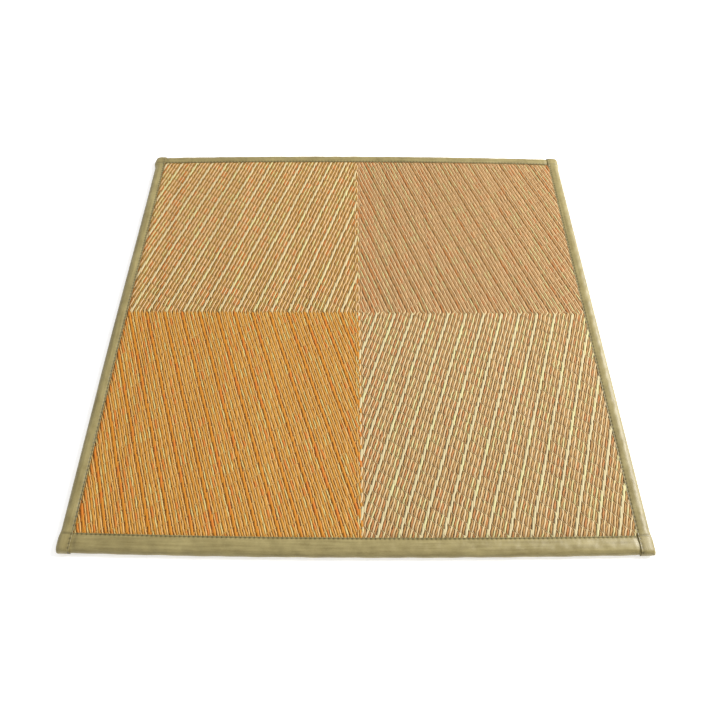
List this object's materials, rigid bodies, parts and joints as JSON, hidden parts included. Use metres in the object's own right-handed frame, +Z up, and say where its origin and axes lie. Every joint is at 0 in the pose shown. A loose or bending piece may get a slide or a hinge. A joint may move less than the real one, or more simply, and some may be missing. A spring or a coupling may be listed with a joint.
{
  "type": "tatami mat",
  "caption": "Square woven rush floor mat, its quarters in different dyed colours, bound round every edge with folded cloth tape.",
  "frame": {"origin": "on the floor, under the middle of the mat's outline", "axes": "+Z up through the mat's thickness, +X to the right and +Y to the back, along the rushes"},
  "size_m": [0.8836, 0.8938, 0.0137],
  "materials": {
    "rush": "twill-woven natural and dyed rush, satin, with fine ribs",
    "binding": "olive satin-weave tape, soft sheen, lockstitched"
  },
  "bodies": {
    "root": {"rush_panel": "rush", "binding_front": "binding", "binding_back": "binding", "binding_left": "binding", "binding_right": "binding"}
  },
  "joints": []
}
